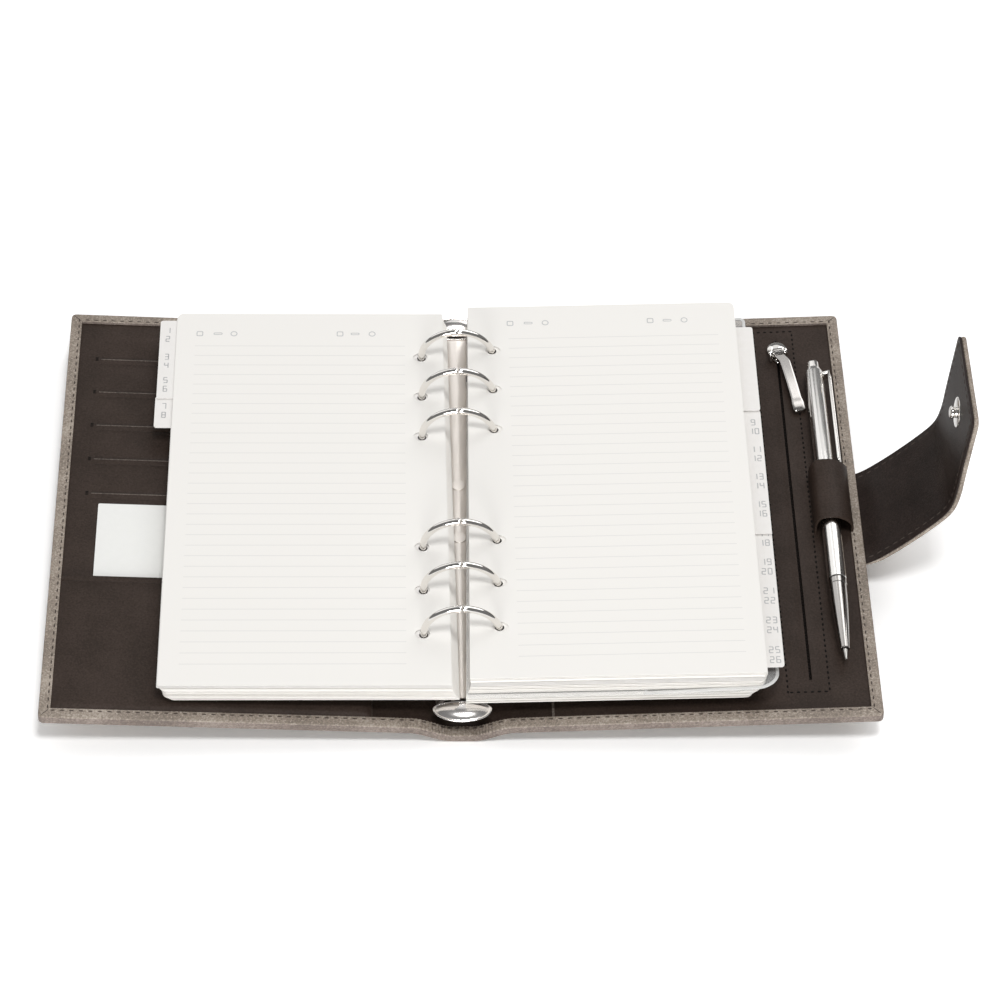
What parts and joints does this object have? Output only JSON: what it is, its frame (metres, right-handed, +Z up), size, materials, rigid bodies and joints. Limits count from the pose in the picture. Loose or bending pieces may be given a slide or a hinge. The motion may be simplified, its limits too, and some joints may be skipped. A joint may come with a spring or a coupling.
{
  "type": "ring-binder planner",
  "caption": "Leather ring-binder day planner lying open: hinged covers, snap-open rings, punched page stacks with index dividers, card pocket, zip pocket, looped pen and a press-stud strap.",
  "frame": {"origin": "middle of the spine, where its outer leather rests on the table", "axes": "+X across the open book towards the strap, +Y along the spine away from the reader, +Z up"},
  "size_m": [0.311, 0.1844, 0.0853],
  "materials": {
    "leather": "taupe full-grain leather, lightly pebbled",
    "lining": "smooth dark-brown lining leather",
    "board": "grey-brown stiffener board",
    "chrome": "polished chrome plate",
    "steel": "plain rolled steel",
    "paper": "white ruled paper",
    "index": "smooth white divider card",
    "clear": "clear flexible film",
    "card": "plain white card",
    "zip": "near-black coil zip",
    "pen": "silver polished metal"
  },
  "bodies": {
    "spine": {"spine_leather": "leather", "spine_board": "board", "spine_lining": "lining", "ring_rail": "chrome", "rail_rivet_near": "chrome", "rail_rivet_far": "chrome"},
    "left_rings": {"left_hinge_plate": "steel", "left_ring_1": "chrome", "left_ring_2": "chrome", "left_ring_3": "chrome", "left_ring_4": "chrome", "left_ring_5": "chrome", "left_ring_6": "chrome"},
    "right_rings": {"right_hinge_plate": "steel", "right_ring_1": "chrome", "right_ring_2": "chrome", "right_ring_3": "chrome", "right_ring_4": "chrome", "right_ring_5": "chrome", "right_ring_6": "chrome"},
    "near_lever": {"near_lever": "chrome"},
    "far_lever": {"far_lever": "chrome"},
    "front_cover": {"front_leather": "leather", "front_board": "board", "front_hinge_lining": "lining", "front_panel": "lining", "front_pocket": "lining", "snap_socket": "chrome"},
    "card": {"business_card": "card"},
    "back_cover": {"back_leather": "leather", "back_board": "board", "back_hinge_lining": "lining", "back_panel": "lining", "zip_chain": "zip", "pen_loop": "lining", "strap_anchor": "leather"},
    "zip_slider": {"zip_slider": "chrome"},
    "zip_pull": {"zip_pull": "chrome"},
    "pen": {"pen_barrel": "pen", "pen_nose": "chrome", "pen_clip": "chrome"},
    "pen_refill": {"pen_refill": "steel"},
    "pen_button": {"pen_button": "chrome"},
    "strap_base": {"strap_base_leather": "leather", "strap_base_lining": "lining"},
    "strap_tip": {"strap_tip_leather": "leather", "strap_tip_lining": "lining", "snap_stud": "chrome", "snap_cap": "chrome"},
    "left_pages": {"left_index_1": "index", "left_index_2": "index", "left_page_block": "paper"},
    "turning_leaf": {"turning_leaf": "paper"},
    "right_pages": {"right_upper_pages": "paper", "contact_divider": "index", "right_index_1": "index", "right_index_2": "index", "right_middle_pages": "paper", "clear_pouch": "clear", "right_lower_pages": "paper"}
  },
  "joints": [
    {"name": "front_cover_fold", "type": "hinge", "parent": "spine", "child": "front_cover", "pos_m": [-0.018, 0, 0.0065], "axis": [0, 1, 0], "range_deg": [-2.8, 87.2]},
    {"name": "left_pages_turn", "type": "hinge", "parent": "spine", "child": "left_pages", "pos_m": [-0.001, 0, 0.0228], "axis": [0, 1, 0], "range_deg": [-2.9, 87.3]},
    {"name": "back_cover_fold", "type": "hinge", "parent": "spine", "child": "back_cover", "pos_m": [0.018, 0, 0.0065], "axis": [0, -1, 0], "range_deg": [-2.8, 87.2]},
    {"name": "right_pages_turn", "type": "hinge", "parent": "spine", "child": "right_pages", "pos_m": [0.001, 0, 0.0228], "axis": [0, -1, 0], "range_deg": [-3.1, 91.4]},
    {"name": "leaf_turn", "type": "hinge", "parent": "left_pages", "child": "turning_leaf", "pos_m": [0, 0, 0.023], "axis": [0, -1, 0], "range_deg": [-168, 0]},
    {"name": "left_rings_open", "type": "hinge", "parent": "spine", "child": "left_rings", "pos_m": [-0.0067, 0, 0.0063], "axis": [0, 1, 0], "range_deg": [-8, 0]},
    {"name": "right_rings_open", "type": "hinge", "parent": "spine", "child": "right_rings", "pos_m": [0.0067, 0, 0.0063], "axis": [0, -1, 0], "range_deg": [-8.1, 0.1]},
    {"name": "near_lever_press", "type": "hinge", "parent": "spine", "child": "near_lever", "pos_m": [0, -0.077, 0.0062], "axis": [-1, 0, 0], "range_deg": [-15.1, 0.1]},
    {"name": "far_lever_press", "type": "hinge", "parent": "spine", "child": "far_lever", "pos_m": [0, 0.077, 0.0062], "axis": [1, 0, 0], "range_deg": [-15.1, 0.1]},
    {"name": "strap_root_bend", "type": "hinge", "parent": "back_cover", "child": "strap_base", "pos_m": [0.14154, -0.0053, 0.01274], "axis": [0, -1, 0], "range_deg": [-48.2, 41.8]},
    {"name": "strap_middle_bend", "type": "hinge", "parent": "strap_base", "child": "strap_tip", "pos_m": [0.16672, -0.0053, 0.04383], "axis": [0, -1, 0], "range_deg": [-36.4, 53.6]},
    {"name": "zip_slide", "type": "slide", "parent": "back_cover", "child": "zip_slider", "axis": [0, 1, 0], "range_m": [-0.14, 0]},
    {"name": "zip_pull_lift", "type": "hinge", "parent": "zip_slider", "child": "zip_pull", "pos_m": [0.11618, 0.0719, 0.01546], "axis": [0.9851, 0.165, 0.0482], "range_deg": [-150, 0]},
    {"name": "pen_slide", "type": "slide", "parent": "back_cover", "child": "pen", "axis": [0, -1, 0], "range_m": [-0.066, 0]},
    {"name": "pen_button_press", "type": "slide", "parent": "pen", "child": "pen_button", "axis": [0, -1, 0], "range_m": [0, 0.003], "stiffness_N_per_m": 400, "springref_m": -0.001},
    {"name": "pen_refill_advance", "type": "slide", "parent": "pen", "child": "pen_refill", "axis": [0, -1, 0], "range_m": [-0.0001, 0.0031]},
    {"name": "card_slide", "type": "slide", "parent": "front_cover", "child": "card", "axis": [0, -1, 0], "range_m": [-0.04, 0]}
  ],
  "couplings": [
    {"joint": "left_pages_turn", "follows": "front_cover_fold", "ratio": 1},
    {"joint": "right_pages_turn", "follows": "back_cover_fold", "ratio": 1.046},
    {"joint": "right_rings_open", "follows": "left_rings_open", "ratio": 1},
    {"joint": "near_lever_press", "follows": "left_rings_open", "ratio": 1.875},
    {"joint": "far_lever_press", "follows": "left_rings_open", "ratio": 1.875},
    {"joint": "pen_refill_advance", "follows": "pen_button_press", "ratio": 1}
  ]
}
